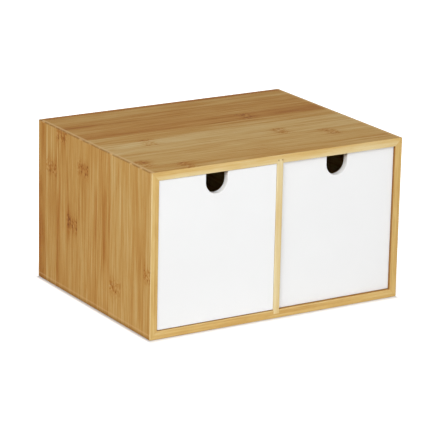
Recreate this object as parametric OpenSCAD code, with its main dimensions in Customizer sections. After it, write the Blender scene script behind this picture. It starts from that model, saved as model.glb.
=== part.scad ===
// Desktop cabinet of two drawers side by side: a case of mitred boards with an upright divider,
// and two plain drawers that slide on the case's floor and pull out by a finger notch.
// X runs across the front, Y from front to back and Z up. The origin is on the surface that the
// case stands on, under its middle.

/* [Case] */
// Width of the case across its front
case_w = 260; // [220:1:320]
// Depth of the case from its front edges to its back edges
case_d = 205; // [160:1:260]
// Height of the case
case_h = 150; // [120:1:200]
// Thickness of the four outer boards
board_t = 7.5; // [6:0.5:10]
// Radius of the four long outer corners
corner_r = 0.8; // [0.5:0.1:2.5]

/* [Mitre splines] */
// Thickness of the spline inside each mitred corner
spline_t = 2; // [1.5:0.25:2.5]
// Width of a spline, half of it in each board
spline_w = 5; // [3:0.5:6]
// Distance from a spline's ends to the front edges and to the back panel
spline_stop = 12; // [6:1:25]
// How far a spline is moved from the middle of the mitre towards the inner corner
spline_offset = 0.8; // [0:0.1:1]

/* [Divider and back panel] */
// Thickness of the upright divider
divider_t = 6; // [5:0.5:9]
// Depth of the grooves in the boards that hold the divider and the back panel
groove_depth = 3.5; // [2:0.5:4]
// Thickness of the back panel
back_t = 3; // [2:0.5:5]
// Distance from the back panel to the back edges of the case
back_inset = 5; // [3:0.5:10]

/* [Drawer fronts] */
// Thickness of a drawer front
front_t = 6; // [5:0.5:9]
// How far the closed left front sits behind the front edges of the case
left_recess = 0.7; // [0.5:0.1:4]
// How far the closed right front sits behind the front edges of the case
right_recess = 2.2; // [0.5:0.1:4]
// Gap at each side of a front
front_side_gap = 0.3; // [0.3:0.1:1.5]
// Gap under a front
front_low_gap = 0.6; // [0.5:0.1:2]
// Gap over a front
front_top_gap = 0.3; // [0.3:0.1:2]
// Width of the finger notch
notch_w = 22; // [18:1:36]
// Depth of the finger notch below the top of the front
notch_depth = 18.7; // [18:0.1:30]
// How far the finger notch is cut to the right of the front's middle
notch_shift = -1.7; // [-6:0.1:6]

/* [Drawer boxes] */
// Thickness of a drawer's sides and back
box_t = 6; // [5:0.5:8]
// Thickness of a drawer's bottom panel
bottom_t = 3; // [2:0.5:4]
// Depth of the grooves that hold the bottom panel, and of those in the front that hold the sides
box_groove = 2.5; // [1.5:0.25:3]
// Height of the bottom panel above the edges that the drawer slides on
bottom_rise = 4; // [2:0.5:8]
// Height by which a drawer's sides and back stay below the case's top board
box_head_gap = 6; // [2:0.5:15]
// Gap at each side of a drawer box
box_side_gap = 0.9; // [0.7:0.1:2]
// Gap between the back panel and the drawer that is pushed in furthest
box_back_gap = 3.5; // [2:0.5:12]
// Running clearance under a drawer
run_gap = 0.3; // [0.2:0.05:0.6]

/* [Brads] */
// Diameter of the brads that fasten a drawer's back
brad_d = 1.2; // [1:0.1:1.6]
// Length of a brad
brad_len = 16; // [12:1:20]
// Number of brads in each side
brad_count = 3; // [2:1:4]
// Distance from the lowest and highest brads to the edges of the drawer's back
brad_margin = 16; // [12:1:25]

/* [Hidden] */

// Gap around the edges of a thin panel or spline in the grooves that hold it
panel_play = 0.25;
// Amount by which a cut runs past the solid that it opens
over = 1;
curve_fn = 48;

bamboo = [0.80, 0.65, 0.40];
pale_bamboo = [0.87, 0.77, 0.55];
plain_panel = [0.74, 0.60, 0.42];
white = [0.95, 0.95, 0.94];
steel = [0.70, 0.70, 0.72];

front_y = -case_d / 2;
back_y = case_d / 2 - back_inset - back_t;
inner_w = case_w - 2 * board_t;
inner_h = case_h - 2 * board_t;
bay_w = (inner_w - divider_t) / 2;

front_w = bay_w - 2 * front_side_gap;
front_h = inner_h - front_low_gap - front_top_gap;
front_z = board_t + front_low_gap;

box_w = bay_w - 2 * box_side_gap;
box_h = inner_h - run_gap - box_head_gap;
box_z = board_t + run_gap;
box_y = front_t - box_groove;
box_end_y = back_y - front_y - max(left_recess, right_recess) - box_back_gap;
room_w = box_w - 2 * box_t;
bottom_z = box_z + bottom_rise;

left = -1;
right = 1;
low = -1;
high = 1;

// Place of a closed drawer in the case, where side is left or right
function drawer_place(side) = [
  side * (divider_t + bay_w) / 2,
  front_y + (side == left ? left_recess : right_recess),
  0
];

// Moves a flat shape drawn in X and Z so that it fills the depth from y0 to y1
module through_depth(y0, y1) {
  translate([0, y1, 0])
    rotate([90, 0, 0])
      linear_extrude(y1 - y0)
        children();
}

// A box centred on X, from the corner at y and z
module block(size, y, z) {
  translate([-size[0] / 2, y, z])
    cube(size);
}

// What rounding takes off the case's corner at side and level
module corner_waste(side, level) {
  translate([side * (case_w / 2 - corner_r), case_h / 2 + level * (case_h / 2 - corner_r)])
    difference() {
      translate([side > 0 ? 0 : -corner_r - over, level > 0 ? 0 : -corner_r - over])
        square(corner_r + over);
      circle(r = corner_r, $fn = curve_fn);
    }
}

// Section of the top or bottom board, mitred at both ends
module flat_section(level) {
  outer_z = case_h / 2 + level * case_h / 2;
  inner_z = outer_z - level * board_t;
  difference() {
    polygon([
      [-case_w / 2, outer_z], [case_w / 2, outer_z],
      [inner_w / 2, inner_z], [-inner_w / 2, inner_z]
    ]);
    for (side = [left, right])
      corner_waste(side, level);
  }
}

// Section of a side board, mitred at both ends
module upright_section(side) {
  outer_x = side * case_w / 2;
  inner_x = side * inner_w / 2;
  difference() {
    polygon([
      [outer_x, 0], [outer_x, case_h],
      [inner_x, case_h - board_t], [inner_x, board_t]
    ]);
    for (level = [low, high])
      corner_waste(side, level);
  }
}

// Spline in the mitre at side and level, with play at its edges and at its ends for the slot
module spline(side, level, play) {
  in_x = side * (case_w / 2 - board_t / 2 - spline_offset * sqrt(0.5));
  in_z = case_h / 2 + level * (case_h / 2 - board_t / 2 - spline_offset * sqrt(0.5));
  through_depth(front_y + spline_stop - play, back_y - spline_stop + play)
    translate([in_x, in_z])
      rotate(-side * level * 45)
        square([spline_w + 2 * play, spline_t], center = true);
}

// The back panel, larger by play on all four edges for its grooves
module back_blank(play) {
  width = inner_w + 2 * (groove_depth - panel_play + play);
  height = inner_h + 2 * (groove_depth - panel_play + play);
  block([width, back_t, height], back_y, (case_h - height) / 2);
}

// The divider, which reaches into the grooves of the top and bottom boards
module divider_blank() {
  height = inner_h + 2 * groove_depth;
  block([divider_t, back_y - front_y, height], front_y, (case_h - height) / 2);
}

// The top or bottom board
module flat_board(level) {
  difference() {
    through_depth(front_y, case_d / 2)
      flat_section(level);
    back_blank(panel_play);
    divider_blank();
    for (side = [left, right])
      spline(side, level, panel_play);
  }
}

// The left or right board
module upright_board(side) {
  difference() {
    through_depth(front_y, case_d / 2)
      upright_section(side);
    back_blank(panel_play);
    for (level = [low, high])
      spline(side, level, panel_play);
  }
}

module top_board() {
  color(bamboo) flat_board(high);
}

module bottom_board() {
  color(bamboo) flat_board(low);
}

module left_side() {
  color(bamboo) upright_board(left);
}

module right_side() {
  color(bamboo) upright_board(right);
}

module divider() {
  color(pale_bamboo) divider_blank();
}

module back_panel() {
  color(plain_panel) back_blank(0);
}

module mitre_spline(side, level) {
  color(bamboo) spline(side, level, 0);
}

// The pieces of a drawer are drawn with the front's outer face at Y = 0 and its middle at X = 0.

// Outline of the finger notch, open at the top of the front
module notch_outline() {
  centre_z = front_z + front_h - notch_depth + notch_w / 2;
  translate([notch_shift, centre_z])
    circle(d = notch_w, $fn = 2 * curve_fn);
  translate([notch_shift - notch_w / 2, centre_z])
    square([notch_w, front_z + front_h + over - centre_z]);
}

// One side of a drawer box before its groove is cut, where end is left or right
module box_side_blank(end) {
  translate([end * (box_w - box_t) / 2, 0, 0])
    block([box_t, box_end_y - box_y, box_h], box_y, box_z);
}

// The bottom panel, larger by play on all four edges for its grooves
module bottom_blank(play) {
  reach = box_groove - panel_play + play;
  y0 = front_t - reach;
  y1 = box_end_y - box_t + reach;
  block([room_w + 2 * reach, y1 - y0, bottom_t], y0, bottom_z);
}

// The brads that go through one side into the back
module brad_row(end) {
  first_z = box_z + brad_margin;
  step = (box_h - 2 * brad_margin) / (brad_count - 1);
  for (i = [0 : brad_count - 1])
    translate([end * box_w / 2, box_end_y - box_t / 2, first_z + i * step])
      rotate([0, -end * 90, 0])
        cylinder(h = brad_len, d = brad_d, $fn = curve_fn);
}

module drawer_front(side) {
  color(white)
    translate(drawer_place(side))
      difference() {
        block([front_w, front_t, front_h], 0, front_z);
        through_depth(-over, front_t + over)
          notch_outline();
        for (end = [left, right])
          box_side_blank(end);
        bottom_blank(panel_play);
      }
}

module drawer_side(side, end) {
  color(pale_bamboo)
    translate(drawer_place(side))
      difference() {
        box_side_blank(end);
        bottom_blank(panel_play);
        brad_row(end);
      }
}

module drawer_back(side) {
  color(pale_bamboo)
    translate(drawer_place(side))
      difference() {
        block([room_w, box_t, box_h], box_end_y - box_t, box_z);
        bottom_blank(panel_play);
        for (end = [left, right])
          brad_row(end);
      }
}

module drawer_bottom(side) {
  color(plain_panel)
    translate(drawer_place(side))
      bottom_blank(0);
}

module drawer_brads(side) {
  color(steel)
    translate(drawer_place(side))
      for (end = [left, right])
        brad_row(end);
}

top_board();
bottom_board();
left_side();
right_side();
divider();
back_panel();
mitre_spline(left, high);  // spline_top_left
mitre_spline(right, high);  // spline_top_right
mitre_spline(left, low);  // spline_bottom_left
mitre_spline(right, low);  // spline_bottom_right
drawer_front(left);  // left_drawer_front
drawer_side(left, left);  // left_drawer_left_side
drawer_side(left, right);  // left_drawer_right_side
drawer_back(left);  // left_drawer_back
drawer_bottom(left);  // left_drawer_bottom
drawer_brads(left);  // left_drawer_brads
drawer_front(right);  // right_drawer_front
drawer_side(right, left);  // right_drawer_left_side
drawer_side(right, right);  // right_drawer_right_side
drawer_back(right);  // right_drawer_back
drawer_bottom(right);  // right_drawer_bottom
drawer_brads(right);  // right_drawer_brads
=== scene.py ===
import math
import random

import bmesh
import bpy
from mathutils import Matrix, Vector


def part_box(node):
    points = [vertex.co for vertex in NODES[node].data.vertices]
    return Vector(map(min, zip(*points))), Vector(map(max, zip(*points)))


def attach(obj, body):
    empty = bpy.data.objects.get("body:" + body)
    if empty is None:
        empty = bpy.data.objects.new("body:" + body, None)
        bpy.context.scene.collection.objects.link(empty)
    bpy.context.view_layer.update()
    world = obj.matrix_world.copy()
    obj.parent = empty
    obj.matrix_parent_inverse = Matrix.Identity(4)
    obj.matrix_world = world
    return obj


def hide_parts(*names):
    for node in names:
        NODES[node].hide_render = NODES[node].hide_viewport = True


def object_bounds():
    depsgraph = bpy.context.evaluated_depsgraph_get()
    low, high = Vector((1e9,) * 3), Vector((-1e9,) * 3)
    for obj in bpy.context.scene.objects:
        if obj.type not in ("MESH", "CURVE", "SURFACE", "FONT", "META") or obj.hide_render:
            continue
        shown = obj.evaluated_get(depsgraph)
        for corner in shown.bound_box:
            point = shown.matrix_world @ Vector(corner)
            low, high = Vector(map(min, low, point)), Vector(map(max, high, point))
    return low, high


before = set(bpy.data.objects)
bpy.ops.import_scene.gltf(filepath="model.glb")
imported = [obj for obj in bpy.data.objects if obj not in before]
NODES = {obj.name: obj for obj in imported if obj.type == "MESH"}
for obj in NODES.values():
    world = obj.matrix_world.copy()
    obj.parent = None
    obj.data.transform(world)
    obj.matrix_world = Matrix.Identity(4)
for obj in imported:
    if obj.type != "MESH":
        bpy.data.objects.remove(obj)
cad_low, cad_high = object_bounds()

MM = 0.001
LENGTH, DEPTH, HEIGHT = ((high - low) / MM for low, high in zip(cad_low, cad_high))
RIGHT = LENGTH / 2
BACK = DEPTH / 2

# Camera, found from the case's corners in the photograph
PHOTO_SIDE = 430
CAMERA_PLACE = Vector((-1.1752, -1.8869, 0.7307))
CAMERA_YAW = math.radians(31.861)
CAMERA_PITCH = math.radians(16.598)
CAMERA_ROLL = math.radians(1.226)
FOCAL_PIXELS = 2541.3
SENSOR = 36


def place_camera():
    forward = Vector(
        (
            math.sin(CAMERA_YAW) * math.cos(CAMERA_PITCH),
            math.cos(CAMERA_YAW) * math.cos(CAMERA_PITCH),
            -math.sin(CAMERA_PITCH),
        )
    )
    level = Vector((math.cos(CAMERA_YAW), -math.sin(CAMERA_YAW), 0))
    upright = level.cross(forward)
    x_axis = math.cos(CAMERA_ROLL) * level + math.sin(CAMERA_ROLL) * upright
    y_axis = -math.sin(CAMERA_ROLL) * level + math.cos(CAMERA_ROLL) * upright
    turn = Matrix((x_axis, y_axis, -forward)).transposed().to_4x4()
    data = bpy.data.cameras.new("camera")
    data.sensor_width = SENSOR
    data.lens = SENSOR * FOCAL_PIXELS / PHOTO_SIDE
    data.clip_end = 50
    camera = bpy.data.objects.new("camera", data)
    camera.matrix_world = Matrix.Translation(CAMERA_PLACE) @ turn
    bpy.context.collection.objects.link(camera)
    bpy.context.scene.camera = camera


# Node fields: numbers and colours that vary over a surface
def feed(tree, socket, value):
    if isinstance(value, Field):
        tree.links.new(value.socket, socket)
    else:
        socket.default_value = value


class Field:
    """The output of a shader node, with arithmetic that adds further nodes."""

    def __init__(self, tree, socket):
        self.tree = tree
        self.socket = socket

    def math(self, operation, *others):
        node = self.tree.nodes.new("ShaderNodeMath")
        node.operation = operation
        feed(self.tree, node.inputs[0], self)
        for socket, other in zip(node.inputs[1:], others):
            feed(self.tree, socket, other)
        return Field(self.tree, node.outputs[0])

    def __add__(self, other):
        return self.math("ADD", other)

    def __sub__(self, other):
        return self.math("SUBTRACT", other)

    def __rsub__(self, other):
        return (self * -1) + other

    def __mul__(self, other):
        return self.math("MULTIPLY", other)

    def __truediv__(self, other):
        return self.math("DIVIDE", other)

    __radd__ = __add__
    __rmul__ = __mul__

    def floor(self):
        return self.math("FLOOR")

    def fract(self):
        return self.math("FRACT")

    def size(self):
        return self.math("ABSOLUTE")

    def least(self, other):
        return self.math("MINIMUM", other)

    def most(self, other):
        return self.math("MAXIMUM", other)

    def bell(self, middle, width):
        """1 at the middle, falling to 0.37 at width on both sides."""
        away = (self - middle) / width
        return (away * away * -1).math("EXPONENT")

    def step(self, start, end, low=0.0, high=1.0):
        """Smooth change from low to high as this goes from start to end."""
        node = self.tree.nodes.new("ShaderNodeMapRange")
        node.interpolation_type = "SMOOTHSTEP"
        for socket, value in zip(node.inputs, (self, start, end, low, high)):
            feed(self.tree, socket, value)
        return Field(self.tree, node.outputs[0])

    def fade(self, start, end, high=1.0):
        """Smooth change from high to 0 as this goes from start to end."""
        return self.step(start, end, high, 0.0)

    def ramp(self, stops, interpolation="LINEAR"):
        """Colour looked up from this; stops are pairs of place and colour."""
        node = self.tree.nodes.new("ShaderNodeValToRGB")
        ramp = node.color_ramp
        ramp.interpolation = interpolation
        while len(ramp.elements) < len(stops):
            ramp.elements.new(1.0)
        for element, (place, colour) in zip(ramp.elements, stops):
            element.position = place
            element.color = (*colour, 1.0)
        feed(self.tree, node.inputs[0], self)
        return Field(self.tree, node.outputs[0])

    def parts(self):
        node = self.tree.nodes.new("ShaderNodeSeparateColor")
        feed(self.tree, node.inputs[0], self)
        return [Field(self.tree, socket) for socket in node.outputs]

    def mixed(self, other, share):
        """This colour turned into the other one by share."""
        node = self.tree.nodes.new("ShaderNodeMix")
        node.data_type = "RGBA"
        feed(self.tree, node.inputs["Factor"], share)
        feed(self.tree, node.inputs[6], self)
        feed(self.tree, node.inputs[7], other)
        return Field(self.tree, node.outputs[2])


class Finish:
    """A material under construction, with the surface's place in mm and its normal."""

    def __init__(self, name, roughness, specular, preview):
        self.material = bpy.data.materials.new(name)
        self.material.use_nodes = True
        self.material.diffuse_color = (*preview, 1.0)
        self.tree = self.material.node_tree
        self.shader = self.tree.nodes["Principled BSDF"]
        self.shader.inputs["Specular IOR Level"].default_value = specular
        self.shader.inputs["Roughness"].default_value = roughness
        place = self.tree.nodes.new("ShaderNodeTexCoord")
        self.place = self.axes(place.outputs["Object"], 1 / MM)
        self.normal = self.axes(place.outputs["Normal"], 1.0)

    def axes(self, socket, scale):
        node = self.tree.nodes.new("ShaderNodeSeparateXYZ")
        self.tree.links.new(socket, node.inputs[0])
        return {
            axis: Field(self.tree, output) * scale for axis, output in zip("xyz", node.outputs)
        }

    def noise(self, x, y, z=0.0, detail=2.0, rough=0.5):
        """Noise of about one lump per unit of x, y and z, from 0 to 1 with its middle at 0.5."""
        join = self.tree.nodes.new("ShaderNodeCombineXYZ")
        for socket, value in zip(join.inputs, (x, y, z)):
            feed(self.tree, socket, value)
        node = self.tree.nodes.new("ShaderNodeTexNoise")
        node.inputs["Scale"].default_value = 1.0
        node.inputs["Detail"].default_value = detail
        node.inputs["Roughness"].default_value = rough
        self.tree.links.new(join.outputs[0], node.inputs["Vector"])
        return Field(self.tree, node.outputs[0])

    def colour(self, field):
        feed(self.tree, self.shader.inputs["Base Color"], field)

    def roughness(self, field):
        feed(self.tree, self.shader.inputs["Roughness"], field)

    def bump(self, height, strength, distance):
        """Relief from a height of 0 to 1, which stands for distance in mm."""
        node = self.tree.nodes.new("ShaderNodeBump")
        node.inputs["Strength"].default_value = strength
        node.inputs["Distance"].default_value = distance * MM
        feed(self.tree, node.inputs["Height"], height)
        self.tree.links.new(node.outputs[0], self.shader.inputs["Normal"])


# Bamboo, from its darkest marks to its lightest fibres
FACE_COLOURS = (
    (0.0, (0.155, 0.047, 0.008)),
    (0.2, (0.338, 0.121, 0.020)),
    (0.4, (0.436, 0.203, 0.044)),
    (0.6, (0.522, 0.293, 0.083)),
    (0.8, (0.599, 0.390, 0.147)),
    (1.0, (0.664, 0.486, 0.234)),
)
EDGE_COLOURS = (
    (0.0, (0.250, 0.106, 0.024)),
    (0.2, (0.500, 0.258, 0.062)),
    (0.5, (0.690, 0.464, 0.168)),
    (0.8, (0.785, 0.628, 0.338)),
    (1.0, (0.850, 0.740, 0.460)),
)
REDDEST = (0.505, 0.219, 0.055, 1.0)
# Painted highlight colour for the case's top corners and for a band above its foot
HIGHLIGHT_TAN = (0.70, 0.46, 0.21, 1.0)
# Painted shade colour for the case's foot and for the inner face at its front, also the colour of
# the divider's small dark spots
SHADE_AND_SPOT_BROWN = (0.29, 0.13, 0.033, 1.0)
GLUE_LINE = (0.25, 0.12, 0.04, 1.0)
# Painted highlight colour for the front and back edges next to the case's outer corners
ARRIS_HIGHLIGHT_PALE = EDGE_COLOURS[-1][1] + (1.0,)

# Boards, strips and knuckles, in mm. A knuckle's place goes through a ramp as a share of LONGEST,
# and a strip without one has it at NO_KNUCKLE, past every board's end. NOISE_SHIFT sets each
# strip's fibres apart from the next one's.
BOARD_THICKNESS = 7.5
STRIP_WIDTH = 19.85
NOISE_SHIFT = 31.7
JOINT_REACH = 0.45
JOINT_CORE = 0.1
NO_KNUCKLE = 390.0
LONGEST = 400.0
KNUCKLE_REACH = 6.5
KNUCKLE_WAVE = 10
FRINGE_REACH = 13.0
ROW_SPACING = 3.6
ROW_REACH = 2.4
SMEAR_FADE_IN = 12
SMEAR_FADE_OUT = 14
SMEAR_STREAKS = 1.6

# How much each kind of mark changes a face's tone
BROAD_SHARE = 0.42
STREAK_SHARE = 0.78
FIBRE_SHARE = 0.42
CLOUD_SHARE = 0.20
VEIN_SHARE = 0.16
FLECK_SHARE = 0.10
JOINT_SHARE = 0.10
KNUCKLE_SHARE = 0.12
BLOTCH_SHARE = 1.5
DOT_SHARE = 0.34
FRINGE_SHARE = 0.22

# The same on the front and back edges, whose tone goes towards MITRE_TONE near a mitre
EDGE_STREAK_SHARE = 0.50
EDGE_SHARE = 0.30
EDGE_FLECK_SHARE = 0.08
MITRE_TONE = 0.52
MITRE_SHARE = 0.55
MITRE_FADE = (7, 28)

# Marks, painted highlights and painted shade on the case's corners, in mm from the end, the table
# or the front: where each fades out, or its middle and its reach
DASH_LENGTH = 9
CORNER_FADE = (0.7, 1.3)
TOP_HIGHLIGHT_BAND = (2.2, 1.2)
JOINT_LINE_FADE = (0.12, 0.3)
FOOT_SHADE_FADE = (1.6, 3.6)
ABOVE_FOOT_HIGHLIGHT_BAND = (4.4, 0.7)
ARRIS_HIGHLIGHT_FADE = (0.3, 1.1)
INNER_FACE_FADE = (0.05, 0.2)
MOUTH_SHADE_FADE = (3.5, 7.0)
SPOT_REACH = 0.8
DASH_STEP = (0.34, 0.52)

# How far their colours go over the bamboo's
TOP_HIGHLIGHT_SHARE = 0.9
CORNER_HIGHLIGHT_SHARE = 0.54
ABOVE_FOOT_HIGHLIGHT_SHARE = 0.35
MOST_HIGHLIGHT = 0.85
ARRIS_HIGHLIGHT_SHARE = 0.4
GLUE_SHARE = 0.50
JOINT_LINE_SHARE = 0.06
FOOT_SHADE_SHARE = 0.6
SPOT_SHARE = 0.8

# Sizes of the normal along x, z or y between which a surface comes to count as the case's end,
# its top, or a front or back edge
END_STEP = (0.75, 0.9)
TOP_STEP = (0.5, 0.9)
SIDE_STEP = (0.45, 0.8)


def measured(finish, axis, start, sign):
    return (finish.place[axis] - start) * sign


def knuckle_marks(finish, across, along, reach):
    """Marks around a knuckle, where reach is the distance from its line along the grain.

    They are a brown patch, its blotches, dark dots in two rows, and dark fibres that run out.
    """
    patch = reach.bell(0.0, KNUCKLE_REACH)
    blotch = finish.noise(across / 1.7, along / 3.0, 7.7) - 0.5
    rows = reach.size().bell(ROW_SPACING, ROW_REACH)
    dots = rows * finish.noise(across / 1.2, along / 1.9, 4.4, detail=1).step(0.54, 0.68)
    fringe = reach.bell(0.0, FRINGE_REACH)
    fringe = fringe * finish.noise(across / 1.5, along / 24, 1.3, detail=1).step(0.45, 0.70)
    return patch, blotch, dots, fringe


def with_corner_marks_and_light(finish, colour, inward, side, mouth):
    """The colour of a mitred board with the marks on the case's long corners.

    They are a painted highlight along the top corners, a joint line with gaps, painted shade along
    the foot of the case's ends with a painted highlight just above it, a painted highlight on the
    front and back edges next to the outer corners, and painted shade on the inner face inside the
    case's mouth, as strong as mouth. inward is the depth from the board's inner face in mm, and
    side is 1 on its front and back edges.
    """
    x, y, z = (finish.place[axis] for axis in "xyz")
    from_end = RIGHT - x.size()
    from_top = HEIGHT - z
    on_end = finish.normal["x"].size().step(*END_STEP)
    on_top = finish.normal["z"].step(*TOP_STEP)
    dashes = finish.noise(y / DASH_LENGTH, 4.0).step(*DASH_STEP)
    corner = (from_end + from_top).fade(*CORNER_FADE)
    # Painted highlight along the top corners, with gaps where the dashed joint line runs
    top_highlight = from_end.bell(*TOP_HIGHLIGHT_BAND) * on_top * TOP_HIGHLIGHT_SHARE
    top_highlight = top_highlight + corner * (1 - dashes) * CORNER_HIGHLIGHT_SHARE
    line = (from_end - from_top).size().least((from_end - z).size())
    line = line.fade(*JOINT_LINE_FADE) * side
    # Painted shade along the foot of the case's ends
    foot = z.fade(*FOOT_SHADE_FADE) * on_end
    # Painted highlight in a narrow band just above the foot
    above = z.bell(*ABOVE_FOOT_HIGHLIGHT_BAND) * on_end
    # Painted highlight on the front and back edges next to the outer corners
    arris_highlight = from_end.fade(*ARRIS_HIGHLIGHT_FADE) * side
    # Painted shade on the inner face near the front
    inner = inward.size().fade(*INNER_FACE_FADE) * (BACK - y.size()).fade(*MOUTH_SHADE_FADE)
    colour = colour.mixed(HIGHLIGHT_TAN, top_highlight.most(above * ABOVE_FOOT_HIGHLIGHT_SHARE).least(MOST_HIGHLIGHT))
    colour = colour.mixed(ARRIS_HIGHLIGHT_PALE, arris_highlight * ARRIS_HIGHLIGHT_SHARE)
    colour = colour.mixed(GLUE_LINE, corner * dashes * GLUE_SHARE + line * JOINT_LINE_SHARE)
    return colour.mixed(SHADE_AND_SPOT_BROWN, (foot * FOOT_SHADE_SHARE).most(inner * mouth))


def bamboo(
    name,
    across,
    along,
    depth,
    first,
    strips,
    smears=(),
    edge=((0.0, 0.5), (1.0, 0.5)),
    thickness=BOARD_THICKNESS,
    seed=0.0,
    streaks=1.0,
    pale=False,
    mitred=False,
    mouth=0.0,
    marks=(),
):
    """Laminated bamboo.

    across, along and depth are an axis with the place and direction that it is measured from, in
    mm. first is where the second strip begins. Each strip has a tone, a redness and the place of
    its knuckle along the grain. A smear is a darker or lighter streak: its middle and half width
    across, its start and end along, and its strength. edge gives the tones through the thickness
    on the board's front and back edges. streaks is the strength of the coarse streaks. A pale
    board has the edges' colours all over. mouth is how much painted shade darkens the inner face
    at the front. marks are the x and z of small dark spots on the front edge.
    """
    finish = Finish(name, roughness=0.5, specular=0.04, preview=FACE_COLOURS[3][1])
    u = measured(finish, *across)
    v = measured(finish, *along)
    w = measured(finish, *depth)
    count = len(strips)
    strip = ((u - first) / STRIP_WIDTH).floor() + 1
    row = [
        (i / count, (tone, redness, knuckle / LONGEST))
        for i, (tone, redness, knuckle) in enumerate(strips)
    ]
    tone, redness, knuckle = ((strip + 0.5) / count).ramp(row, "CONSTANT").parts()
    own = strip * NOISE_SHIFT + seed

    # Fibres, from broad streaks to single ones, each strip with its own
    bow = (finish.noise(u / 24 + own, v / 70, w / 20) - 0.5) * 5
    uu = u + bow + own
    vv = v + own * 7
    broad = finish.noise(uu / 6.5, vv / 150, w / 6) - 0.5
    streak = finish.noise(uu / 1.9, vv / 90, w / 1.9) - 0.5
    fibre = finish.noise(uu / 0.55, vv / 26, w / 0.55, rough=0.6) - 0.5
    fleck = finish.noise(uu / 0.42, vv / 5.5, w / 0.42, detail=1).step(0.62, 0.74)
    cloud = finish.noise(uu / 16, vv / 45, w / 16) - 0.5
    vein = finish.noise(uu / 1.5, vv / 60, w / 1.5 + 5, detail=1).step(0.56, 0.70)
    vein = vein * finish.noise(uu / 9, vv / 34, 2.2, detail=1).step(0.40, 0.62)

    wave = (finish.noise(uu / 5, own, 3.1) - 0.5) * KNUCKLE_WAVE
    reach = v - knuckle * LONGEST + wave
    patch, blotch, dots, fringe = knuckle_marks(finish, uu, vv, reach)
    seam = (((u - first) / STRIP_WIDTH).fract() - 0.5).size() * STRIP_WIDTH
    joint = seam.step(STRIP_WIDTH / 2 - JOINT_REACH, STRIP_WIDTH / 2 - JOINT_CORE)

    # The tone and colour of the faces
    value = tone + broad * (BROAD_SHARE * streaks) + streak * (STREAK_SHARE * streaks)
    value = value + fibre * FIBRE_SHARE + cloud * CLOUD_SHARE - vein * (VEIN_SHARE * streaks)
    value = value - fleck * FLECK_SHARE - joint * JOINT_SHARE - patch * KNUCKLE_SHARE
    value = value + patch * blotch * BLOTCH_SHARE - dots * DOT_SHARE - fringe * FRINGE_SHARE
    for middle, half, start, end, strength in smears:
        smear = u.bell(middle, half) * v.step(start - SMEAR_FADE_IN, start + SMEAR_FADE_IN)
        smear = smear * v.fade(end - SMEAR_FADE_OUT, end + SMEAR_FADE_OUT)
        value = value + smear * (streak * SMEAR_STREAKS + 1) * strength
    heat = finish.noise(uu / 2.6, vv / 70, w / 2.6 + 9, detail=1) - 0.5
    warm = (redness + heat) * 0.5 + (vein + patch) * 0.15
    face_colour = value.ramp(FACE_COLOURS).mixed(REDDEST, warm.most(0.0))

    # The colour of the front and back edges
    rim = (w / thickness).ramp([(place, (tone,) * 3) for place, tone in edge]).parts()[0]
    if mitred:
        total = LENGTH if along[0] == "x" else HEIGHT
        rim = rim + (MITRE_TONE - rim) * v.least(total - v).fade(*MITRE_FADE, MITRE_SHARE)
    rim = rim + streak * EDGE_STREAK_SHARE + (fibre + cloud + broad) * EDGE_SHARE
    edge_colour = (rim - fleck * EDGE_FLECK_SHARE).ramp(EDGE_COLOURS)

    side = finish.normal["y"].size().step(*SIDE_STEP)
    colour = edge_colour if pale else face_colour.mixed(edge_colour, side)
    if mitred:
        colour = with_corner_marks_and_light(finish, colour, w - thickness, side, mouth)
    for x, z in marks:
        spot = finish.place["x"].bell(x, SPOT_REACH) * finish.place["z"].bell(z, SPOT_REACH)
        colour = colour.mixed(SHADE_AND_SPOT_BROWN, spot * side * SPOT_SHARE)
    finish.colour(colour)
    finish.roughness(0.56 - fibre * 0.16 - streak * 0.10 + fleck * 0.1)
    relief = fibre * 0.6 + streak * 0.4 - fleck * 0.5 - dots * 0.8
    finish.bump(relief, strength=0.35, distance=0.12)
    return finish.material


# Strips of boards that the photograph doesn't show
KNUCKLE_CHANCE = 0.7
NEAREST_KNUCKLE = 8
MOST_REDNESS = 0.35


def random_strips(seed, count, middle=0.62, spread=0.16, reach=260):
    """Tones, redness and knuckles for boards that the photograph doesn't show."""
    draw = random.Random(seed)
    strips = []
    for _ in range(count):
        tone = middle + draw.uniform(-spread, spread)
        has_knuckle = draw.random() < KNUCKLE_CHANCE
        knuckle = draw.uniform(NEAREST_KNUCKLE, reach) if has_knuckle else NO_KNUCKLE
        strips.append((tone, draw.uniform(0.0, MOST_REDNESS), knuckle))
    return strips


# Strips from the back edge forwards, with the knuckle's place from the left end or from the table
TOP_STRIPS = (
    (0.46, 0.20, NO_KNUCKLE),
    (0.62, 0.05, NO_KNUCKLE),
    (0.49, 0.10, NO_KNUCKLE),
    (0.54, 0.15, NO_KNUCKLE),
    (0.46, 0.25, 175),
    (0.62, 0.0, NO_KNUCKLE),
    (0.85, 0.0, 48),
    (0.82, 0.0, 175),
    (0.75, 0.0, 214),
    (0.71, 0.0, 9),
    (0.65, 0.05, 40),
)
TOP_SMEARS = (
    (3.0, 4.0, -20, 280, -0.12),
    (43.0, 3.0, -20, 40, -0.20),
    (76.0, 9.0, 200, 300, -0.16),
    (126.0, 1.2, -20, 280, -0.14),
    (146.0, 1.4, -20, 280, -0.14),
    (171.0, 5.0, 8, 12, -0.50),
)
LEFT_STRIPS = (
    (0.50, 0.10, NO_KNUCKLE),
    (0.62, 0.05, 111),
    (0.56, 0.10, 146),
    (0.58, 0.10, 68),
    (0.62, 0.05, 124),
    (0.58, 0.15, NO_KNUCKLE),
    (0.56, 0.15, NO_KNUCKLE),
    (0.66, 0.0, 30),
    (0.64, 0.0, NO_KNUCKLE),
    (0.61, 0.05, NO_KNUCKLE),
    (0.65, 0.0, 57),
)
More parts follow.
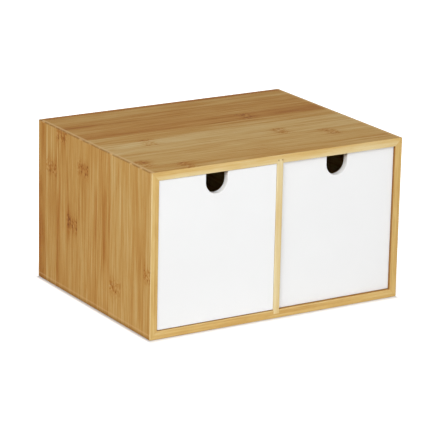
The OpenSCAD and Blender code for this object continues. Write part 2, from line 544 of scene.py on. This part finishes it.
LEFT_SMEARS = (
    (7.0, 7.0, -20, 95, -0.16),
    (7.0, 5.0, 35, 60, -0.14),
    (16.5, 2.0, -20, 160, 0.10),
    (37.0, 3.0, 10, 90, -0.16),
    (57.5, 2.6, 52, 84, -0.28),
    (66.0, 7.0, 62, 74, -0.08),
    (82.0, 6.0, 100, 122, -0.10),
    (108.0, 2.2, 60, 110, -0.18),
    (124.5, 4.5, 45, 115, -0.22),
    (183.0, 2.6, 50, 105, -0.10),
)

# Tones of the edges, through the thickness from the outer face
TOP_EDGE = ((0.0, 0.53), (0.35, 0.57), (0.60, 0.62), (0.74, 0.70), (1.0, 0.76))
BOTTOM_EDGE = ((0.0, 0.46), (0.50, 0.44), (0.80, 0.40), (0.90, 0.56), (1.0, 0.66))
LEFT_EDGE = ((0.0, 0.52), (0.25, 0.53), (0.48, 0.52), (0.60, 0.40), (0.80, 0.38), (1.0, 0.44))
RIGHT_EDGE = ((0.0, 0.50), (0.20, 0.46), (0.45, 0.42), (0.75, 0.48), (1.0, 0.44))
DIVIDER_EDGE = ((0.0, 0.84), (0.14, 0.84), (0.28, 0.78), (0.7, 0.76), (1.0, 0.68))
DIVIDER_THICKNESS = 6.0
DIVIDER_SPOTS = ((-1.9, 145.2), (2.0, 145.4))

top_bamboo = bamboo(
    "top_bamboo",
    across=("y", BACK, -1),
    along=("x", -RIGHT, 1),
    depth=("z", HEIGHT, -1),
    first=7.0,
    strips=TOP_STRIPS,
    smears=TOP_SMEARS,
    edge=TOP_EDGE,
    mitred=True,
    seed=3.0,
)
left_bamboo = bamboo(
    "left_bamboo",
    across=("y", BACK, -1),
    along=("z", 0.0, 1),
    depth=("x", -RIGHT, 1),
    first=14.6,
    strips=LEFT_STRIPS,
    smears=LEFT_SMEARS,
    edge=LEFT_EDGE,
    mitred=True,
    seed=11.0,
)
right_bamboo = bamboo(
    "right_bamboo",
    across=("y", BACK, -1),
    along=("z", 0.0, 1),
    depth=("x", RIGHT, -1),
    first=9.2,
    strips=random_strips(5, 11, reach=150),
    edge=RIGHT_EDGE,
    mitred=True,
    # Painted shade on the inner face near the front
    mouth=0.8,
    seed=23.0,
)
bottom_bamboo = bamboo(
    "bottom_bamboo",
    across=("y", BACK, -1),
    along=("x", -RIGHT, 1),
    depth=("z", 0.0, 1),
    first=12.4,
    strips=random_strips(8, 11),
    edge=BOTTOM_EDGE,
    mitred=True,
    seed=41.0,
)
divider_bamboo = bamboo(
    "divider_bamboo",
    across=("y", BACK, -1),
    along=("z", 0.0, 1),
    depth=("x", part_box("divider")[0].x / MM, 1),
    first=16.0,
    strips=random_strips(9, 11, middle=0.8, spread=0.08, reach=150),
    edge=DIVIDER_EDGE,
    thickness=DIVIDER_THICKNESS,
    pale=True,
    marks=DIVIDER_SPOTS,
    seed=59.0,
)
side_bamboo = bamboo(
    "drawer_side_bamboo",
    across=("z", 0.0, 1),
    along=("y", -BACK, 1),
    depth=("x", 0.0, 1),
    first=12.0,
    strips=random_strips(14, 9, middle=0.78, spread=0.10, reach=200),
    seed=71.0,
    streaks=0.8,
)
cross_bamboo = bamboo(
    "drawer_back_bamboo",
    across=("z", 0.0, 1),
    along=("x", -RIGHT, 1),
    depth=("y", BACK, -1),
    first=5.0,
    strips=random_strips(17, 9, middle=0.78, spread=0.10, reach=260),
    seed=83.0,
    streaks=0.8,
)


def panel_finish(name, grain, cross, depth):
    """Thin plywood: a pale veneer with broad figure and fine pores."""
    finish = Finish(name, roughness=0.6, specular=0.12, preview=(0.62, 0.45, 0.25))
    u = finish.place[cross]
    v = finish.place[grain]
    w = finish.place[depth]
    bow = (finish.noise(u / 38, v / 130, w / 40) - 0.5) * 60
    rings = ((u + bow) / 7).math("SINE") * 0.5 + 0.5
    streak = finish.noise((u + bow) / 2.2, v / 60, w / 2.2) - 0.5
    pore = finish.noise(u / 0.35, v / 7, w / 0.35, detail=1).step(0.62, 0.72)
    value = rings * 0.28 + streak * 0.5 - pore * 0.2 + 0.48
    finish.colour(
        value.ramp(
            (
                (0.0, (0.37, 0.215, 0.080)),
                (0.5, (0.60, 0.415, 0.185)),
                (1.0, (0.73, 0.550, 0.290)),
            )
        )
    )
    finish.roughness(0.58 + pore * 0.12)
    finish.bump(streak * 0.4 - pore * 0.6, strength=0.3, distance=0.1)
    return finish.material


def lacquer_finish(name):
    """White lacquer over board, with a faint roller texture and slightly greyer worn arrises."""
    finish = Finish(name, roughness=0.42, specular=0.35, preview=(0.88, 0.88, 0.87))
    x, y, z = (finish.place[axis] for axis in "xyz")
    peel = finish.noise(x / 1.3, y / 1.3, z / 1.3)
    cloud = finish.noise(x / 45, y / 45, z / 45)
    scuff = finish.noise(x / 3, y / 3, z / 14, detail=3, rough=0.6).step(0.62, 0.8)
    facing = finish.normal["y"].size()
    worn = facing.step(0.25, 0.6) * facing.fade(0.85, 0.98)
    grey = cloud * 0.5 + worn * (scuff * 0.5 + 0.25)
    finish.colour(grey.ramp(((0.0, (0.905, 0.905, 0.900)), (1.0, (0.845, 0.845, 0.838)))))
    finish.roughness(0.40 + scuff * 0.10 + (cloud - 0.5) * 0.08)
    finish.bump(peel, strength=0.05, distance=0.05)
    return finish.material


def steel_finish(name):
    """Bright drawn wire with fine rings from its drawing."""
    finish = Finish(name, roughness=0.34, specular=0.5, preview=(0.55, 0.55, 0.57))
    x, y, z = (finish.place[axis] for axis in "xyz")
    scratch = finish.noise(x / 2.0, y / 0.12, z / 0.12)
    dull = finish.noise(x / 3, y / 0.8, z / 0.8)
    finish.shader.inputs["Metallic"].default_value = 1.0
    finish.colour(dull.ramp(((0.3, (0.47, 0.47, 0.49)), (0.7, (0.62, 0.62, 0.64)))))
    finish.roughness(scratch * 0.2 + 0.24)
    finish.bump(scratch, strength=0.2, distance=0.02)
    return finish.material


panel_back = panel_finish("back_panel_ply", grain="x", cross="z", depth="y")
panel_floor = panel_finish("drawer_bottom_ply", grain="x", cross="y", depth="z")
lacquer = lacquer_finish("white_lacquer_coat")
steel = steel_finish("brad_wire")

# Eased copies of the boards; lengths in mm, turns between the normals of two faces
WELD = 0.01
FLAT_TURN = math.radians(0.5)
SHARP_TURN = math.radians(30)
EASING = 1.0
EASING_SEGMENTS = 3
OUTER_ARRIS = 0.4
INNER_ARRIS = 0.2
MITRE_ARRIS = 0.06
FRONT_ARRIS = 0.3
DIVIDER_ARRIS = 0.25
BOX_TOP_ARRIS = 0.8
BOX_FOOT_ARRIS = 0.3

# How near an edge is to a plane that it lies on, and the cosines between a face's normal and a
# direction that tell a square face and a mitre
TOUCH = 0.02
STRAIGHT = 0.99
MITRE_LEAN = 0.69
MITRE_MOST = 0.72

# The finger notch: half its width with room, and a height on the front that is below its foot
NOTCH_REACH = 20.0
NOTCH_LEVEL = 110


def eased(node, body, material, widths):
    """Put a copy with rounded arrises in the place of a CAD node.

    widths gives the width of an edge's rounding in mm from the edge's middle and the normals of
    the two faces that meet there.
    """
    shape = bmesh.new()
    shape.from_mesh(NODES[node].data)
    bmesh.ops.remove_doubles(shape, verts=shape.verts, dist=WELD * MM)
    bmesh.ops.dissolve_limit(
        shape,
        angle_limit=FLAT_TURN,
        verts=shape.verts,
        edges=shape.edges,
        use_dissolve_boundaries=False,
    )
    shape.normal_update()
    shape.verts.index_update()
    points = [vertex.co.copy() for vertex in shape.verts]
    faces = [[vertex.index for vertex in face.verts] for face in shape.faces]
    wanted = {}
    hard = set()
    for edge in shape.edges:
        if len(edge.link_faces) != 2:
            continue
        key = tuple(sorted(vertex.index for vertex in edge.verts))
        a, b = (face.normal for face in edge.link_faces)
        if not edge.is_convex or a.angle(b) < SHARP_TURN / 2:
            width = 0.0
        else:
            middle = (edge.verts[0].co + edge.verts[1].co) / 2 / MM
            width = widths(middle, a, b)
        if width:
            wanted[key] = width
        elif a.angle(b) > SHARP_TURN:
            hard.add(key)
    shape.free()
    mesh = bpy.data.meshes.new(node + "_eased")
    mesh.from_pydata(points, [], faces)
    mesh.materials.append(material)
    weights = mesh.attributes.new("bevel_weight_edge", "FLOAT", "EDGE")
    sharp = mesh.attributes.new("sharp_edge", "BOOLEAN", "EDGE")
    for edge in mesh.edges:
        key = tuple(sorted(edge.vertices))
        weights.data[edge.index].value = wanted.get(key, 0.0) / EASING
        sharp.data[edge.index].value = key in hard
    mesh.shade_smooth()
    piece = bpy.data.objects.new(node + "_eased", mesh)
    bpy.context.collection.objects.link(piece)
    bevel = piece.modifiers.new("easing", "BEVEL")
    bevel.width = EASING * MM
    bevel.limit_method = "WEIGHT"
    bevel.segments = EASING_SEGMENTS
    bevel.use_clamp_overlap = False
    bevel.miter_outer = "MITER_SHARP"
    normals = piece.modifiers.new("normals", "WEIGHTED_NORMAL")
    normals.keep_sharp = True
    normals.weight = 100
    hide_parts(node)
    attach(piece, body)


def board_widths(outward):
    """Roundings of a case board, on the outlines of its front and back edges and on its mitres."""
    out = Vector(outward)

    def widths(middle, a, b):
        end, other = sorted((a, b), key=lambda normal: -abs(normal.y))
        lean = other.dot(out)
        if abs(end.y) > STRAIGHT:
            if abs(abs(middle.y) - BACK) > TOUCH:
                return 0.0
            if lean > MITRE_LEAN:
                return OUTER_ARRIS
            if lean < -STRAIGHT:
                return INNER_ARRIS
            return MITRE_ARRIS if lean < -MITRE_LEAN else 0.0
        low, high = sorted((a.dot(out), b.dot(out)))
        at_mitre = -MITRE_MOST < low < -MITRE_LEAN
        return MITRE_ARRIS if at_mitre and high > MITRE_LEAN else 0.0

    return widths


for node, outward, material in (
    ("top_board", (0, 0, 1), top_bamboo),
    ("bottom_board", (0, 0, -1), bottom_bamboo),
    ("left_side", (-1, 0, 0), left_bamboo),
    ("right_side", (1, 0, 0), right_bamboo),
):
    eased(node, "case", material, board_widths(outward))


def divider_widths(middle, a, b):
    front = min(a.y, b.y) < -STRAIGHT
    return DIVIDER_ARRIS if front and max(abs(a.x), abs(b.x)) > STRAIGHT else 0.0


eased("divider", "case", divider_bamboo, divider_widths)


def front_widths(node):
    """Roundings of a drawer front: around its face, at its upright ends, and over the top."""
    low, high = (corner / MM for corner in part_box(node))

    def near(value, *places):
        return min(abs(value - place) for place in places) < TOUCH

    def widths(middle, a, b):
        at_side = near(middle.x, low.x, high.x)
        at_top = near(middle.z, high.z)
        if near(middle.y, low.y):
            return FRONT_ARRIS
        in_notch = abs(middle.x - (low.x + high.x) / 2) < NOTCH_REACH
        in_notch = in_notch and middle.z > low.z + NOTCH_LEVEL
        if near(middle.y, high.y):
            return FRONT_ARRIS if at_top or in_notch else 0.0
        return FRONT_ARRIS if at_side and (at_top or near(middle.z, low.z)) else 0.0

    return widths


def box_widths(node, along):
    """Roundings of a drawer's side or back, on its long top and bottom edges."""
    low, high = (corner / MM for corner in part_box(node))

    def widths(middle, a, b):
        if max(abs(normal.dot(Vector(along))) for normal in (a, b)) > STRAIGHT:
            return 0.0
        if abs(middle.z - high.z) < TOUCH:
            return BOX_TOP_ARRIS
        return BOX_FOOT_ARRIS if abs(middle.z - low.z) < TOUCH else 0.0

    return widths


for side in ("left", "right"):
    body = side + "_drawer"
    front = body + "_front"
    eased(front, body, lacquer, front_widths(front))
    for end in ("left", "right"):
        node = f"{body}_{end}_side"
        eased(node, body, side_bamboo, box_widths(node, (0, 1, 0)))
    node = body + "_back"
    eased(node, body, cross_bamboo, box_widths(node, (1, 0, 0)))
    NODES[body + "_bottom"].data.materials[0] = panel_floor
    NODES[body + "_brads"].data.materials[0] = steel

NODES["back_panel"].data.materials[0] = panel_back
for level in ("top", "bottom"):
    for side in ("left", "right"):
        NODES[f"spline_{level}_{side}"].data.materials[0] = cross_bamboo


# Light, floor and background
def lamp(name, azimuth, elevation, distance, size, power):
    """A square lamp that faces the case, with its azimuth in degrees to the left of the front."""
    a, e = math.radians(azimuth), math.radians(elevation)
    way = Vector((-math.sin(a) * math.cos(e), -math.cos(a) * math.cos(e), math.sin(e)))
    data = bpy.data.lights.new(name, "AREA")
    data.shape = "SQUARE"
    data.size = size
    data.energy = power
    place = bpy.data.objects.new(name, data)
    place.location = way * distance + Vector((0, 0, HEIGHT * MM / 2))
    place.rotation_euler = way.to_track_quat("Z", "Y").to_euler()
    bpy.context.collection.objects.link(place)


lamp("left_softbox", azimuth=62, elevation=33, distance=3.2, size=1.6, power=55.0)
lamp("front_softbox", azimuth=-8, elevation=37, distance=2.6, size=1.1, power=17.6)
lamp("camera_fill", azimuth=32, elevation=17, distance=2.6, size=0.8, power=8.5)

AMBIENT = 0.25
WHITE = (1.0, 1.0, 1.0, 1.0)


def seen_by_eye_or_gloss(tree):
    """1 for camera, glossy and transmission rays, and 0 for the diffuse ones."""
    path = tree.nodes.new("ShaderNodeLightPath")
    seen = Field(tree, path.outputs["Is Camera Ray"])
    seen = seen + Field(tree, path.outputs["Is Glossy Ray"])
    seen = seen + Field(tree, path.outputs["Is Transmission Ray"])
    return seen.least(1.0)


world = bpy.data.worlds.new("studio")
world.use_nodes = True
bpy.context.scene.world = world
sky = world.node_tree.nodes["Background"]
sky.inputs["Color"].default_value = WHITE
sky_strength = seen_by_eye_or_gloss(world.node_tree).step(0, 1, AMBIENT, 1)
feed(world.node_tree, sky.inputs["Strength"], sky_strength)

# The floor's side in m, and in mm how far it lies below the case, how far the painted shade at the
# case's foot reaches, and from where to where the glow rises from FLOOR_GLOW to full
FLOOR_SIDE = 12.0
FLOOR_DROP = 0.2
PAINTED_SHADE_REACH = 11.0
GLOW_RISE = (80, 500)
FLOOR_GLOW = 0.66
FLOOR_COLOUR = (0.85, 0.86, 0.875, 1.0)

# How many times faster the painted shade ends on the left than at the front, and on the far sides
LEFT_HASTE = 2.2
FAR_HASTE = 9


def floor_glow_with_painted_shade(tree):
    place = tree.nodes.new("ShaderNodeTexCoord")
    axes = tree.nodes.new("ShaderNodeSeparateXYZ")
    tree.links.new(place.outputs["Object"], axes.inputs[0])
    x, y = (Field(tree, output) / MM for output in axes.outputs[:2])
    past_left = (x * -1 - RIGHT).most(0.0) * LEFT_HASTE
    past_right = (x - RIGHT).most(0.0) * FAR_HASTE
    past_back = (y - BACK).most(0.0) * FAR_HASTE
    past_front = (y * -1 - BACK).most(0.0)
    past_x = past_left + past_right
    past_y = past_front + past_back
    past = (past_x * past_x + past_y * past_y).math("SQRT")
    # The glow fades to nothing at the case's footprint, which paints a contact shadow on the floor
    glow = past.step(0, PAINTED_SHADE_REACH) * past.step(*GLOW_RISE, FLOOR_GLOW, 1.0)
    return glow * seen_by_eye_or_gloss(tree)


floor_mesh = bpy.data.meshes.new("floor")
reach = FLOOR_SIDE / 2
corners = ((-reach, -reach), (reach, -reach), (reach, reach), (-reach, reach))
floor_mesh.from_pydata([(x, y, -FLOOR_DROP * MM) for x, y in corners], [], [(0, 1, 2, 3)])
floor_material = bpy.data.materials.new("pale_floor")
floor_material.use_nodes = True
floor_tree = floor_material.node_tree
floor_shader = floor_tree.nodes["Principled BSDF"]
floor_shader.inputs["Base Color"].default_value = FLOOR_COLOUR
floor_shader.inputs["Roughness"].default_value = 0.9
floor_shader.inputs["Specular IOR Level"].default_value = 0.0
floor_shader.inputs["Emission Color"].default_value = WHITE
feed(floor_tree, floor_shader.inputs["Emission Strength"], floor_glow_with_painted_shade(floor_tree))
floor_mesh.materials.append(floor_material)
floor = bpy.data.objects.new("floor", floor_mesh)
bpy.context.collection.objects.link(floor)

place_camera()
bpy.context.scene.view_settings.view_transform = "Standard"
